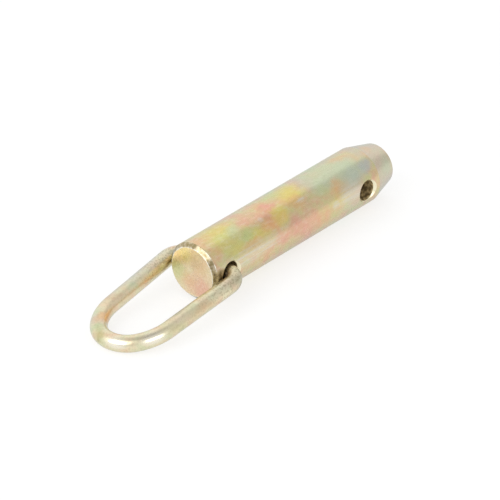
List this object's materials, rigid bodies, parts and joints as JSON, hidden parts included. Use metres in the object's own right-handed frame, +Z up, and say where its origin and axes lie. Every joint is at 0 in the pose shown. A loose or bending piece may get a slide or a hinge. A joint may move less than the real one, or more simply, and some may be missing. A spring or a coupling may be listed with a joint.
{
  "type": "handled hitch pin",
  "caption": "Headless round steel hitch pin with a tapered nose, a cross hole for a lynch pin, and a wire handle that swings in a cross hole at its flat end.",
  "frame": {"origin": "centre of the pin's flat end, on the pin's axis, 14 mm above the surface that the pin lies on", "axes": "+X along the pin from the flat end to the nose, Y along both cross holes and the handle's hinge line, +Z up as the pin lies on its side"},
  "size_m": [0.1918, 0.0454, 0.028],
  "materials": {
    "pin_plating": "turned steel with yellow chromated zinc plating, satin, with soft iridescent patches",
    "handle_plating": "drawn steel wire with yellow chromated zinc plating, satin"
  },
  "bodies": {
    "pin_body": {"pin": "pin_plating"},
    "handle_body": {"handle": "handle_plating"}
  },
  "joints": [
    {"name": "handle_swing", "type": "hinge", "parent": "pin_body", "child": "handle_body", "pos_m": [0.0115, 0, -0.0005], "axis": [0, 1, 0], "range_deg": [-156.5, 171.5]}
  ]
}
